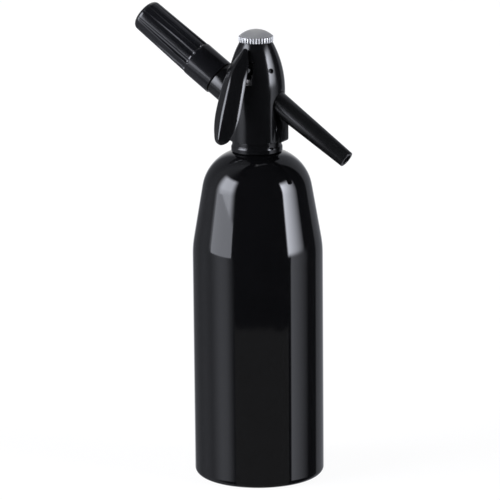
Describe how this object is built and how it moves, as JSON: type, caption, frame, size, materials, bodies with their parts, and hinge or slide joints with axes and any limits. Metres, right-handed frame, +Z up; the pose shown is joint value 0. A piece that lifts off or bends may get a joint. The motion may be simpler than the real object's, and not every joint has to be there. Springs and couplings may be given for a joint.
{
  "type": "soda siphon",
  "caption": "Soda siphon: a black metal bottle with a screw-on dispensing head, thumb lever, sloping spout, knurled cap and a screw-on holder for a gas charger.",
  "frame": {"origin": "centre of the bottle's foot, on the surface it stands on", "axes": "+Z up along the bottle's axis; +X towards the spout; the lever hangs on the -Y side and the charger holder rises towards -X"},
  "size_m": [0.1658, 0.099, 0.326],
  "materials": {
    "black_enamel": "black gloss enamel on aluminium",
    "gloss_black": "moulded, polished",
    "satin_black": "moulded, satin",
    "spout_black": "moulded, semi-gloss",
    "chrome_ring": "chrome plated, straight knurl",
    "grey_insert": "fine satin grey",
    "rubber": "moulded rubber",
    "brass": "turned brass",
    "steel": "stainless steel",
    "charger_steel": "zinc plated steel",
    "tube_plastic": "translucent tube"
  },
  "bodies": {
    "bottle": {"bottle": "black_enamel", "neck_ring": "gloss_black"},
    "gasket": {"head_gasket": "rubber"},
    "head": {"head_casing": "gloss_black", "valve_body": "brass", "valve_seat": "brass", "stem_packing": "rubber", "gland_nut": "brass", "valve_spring": "steel", "lever_pin": "steel", "spout": "spout_black", "spout_seal": "rubber", "inlet_fitting": "brass", "inlet_washer": "rubber", "check_valve": "rubber", "inlet_sieve": "steel", "pin_holder": "brass", "piercing_pin": "steel", "charger_seal": "rubber", "riser_tube": "tube_plastic", "riser_bush": "rubber", "measuring_tube": "tube_plastic"},
    "stem": {"valve_stem": "steel", "valve_disc": "rubber", "lift_collar": "steel"},
    "lever": {"lever": "gloss_black"},
    "charger": {"co2_charger": "charger_steel"},
    "holder": {"charger_holder": "satin_black", "holder_insert": "brass"},
    "washer": {"cap_washer": "rubber"},
    "cap": {"cap_ring": "chrome_ring", "cap_dome": "grey_insert"}
  },
  "joints": [
    {"name": "head_rise", "type": "slide", "parent": "bottle", "child": "gasket", "axis": [0, 0, 1], "range_m": [0, 0.0105]},
    {"name": "head_turn", "type": "hinge", "parent": "gasket", "child": "head", "pos_m": [0, 0, 0.25205], "axis": [0, 0, 1], "range_deg": [0, 1260]},
    {"name": "lever_press", "type": "hinge", "parent": "head", "child": "lever", "pos_m": [0, -0.008, 0.28775], "axis": [1, 0, 0], "range_deg": [0, 13], "stiffness_Nm_per_rad": 0.6, "springref_deg": -4.58},
    {"name": "stem_lift", "type": "slide", "parent": "head", "child": "stem", "axis": [0, 0, 1], "range_m": [0, 0.00182], "deforming": ["valve_spring"]},
    {"name": "charger_travel", "type": "slide", "parent": "head", "child": "charger", "axis": [-0.8241, 0, 0.5664], "range_m": [0, 0.01]},
    {"name": "holder_turn", "type": "hinge", "parent": "charger", "child": "holder", "pos_m": [0, 0, 0.2575], "axis": [-0.8241, 0, 0.5664], "range_deg": [0, 1440]},
    {"name": "cap_rise", "type": "slide", "parent": "head", "child": "washer", "axis": [0, 0, 1], "range_m": [0, 0.0045]},
    {"name": "cap_turn", "type": "hinge", "parent": "washer", "child": "cap", "pos_m": [0, 0, 0.30565], "axis": [0, 0, 1], "range_deg": [0, 1080]}
  ],
  "couplings": [
    {"joint": "head_turn", "follows": "head_rise", "rad_per_m": 2094.4},
    {"joint": "lever_press", "follows": "stem_lift", "rad_per_m": 124.46},
    {"joint": "holder_turn", "follows": "charger_travel", "rad_per_m": 2513.3},
    {"joint": "cap_turn", "follows": "cap_rise", "rad_per_m": 4188.8}
  ]
}
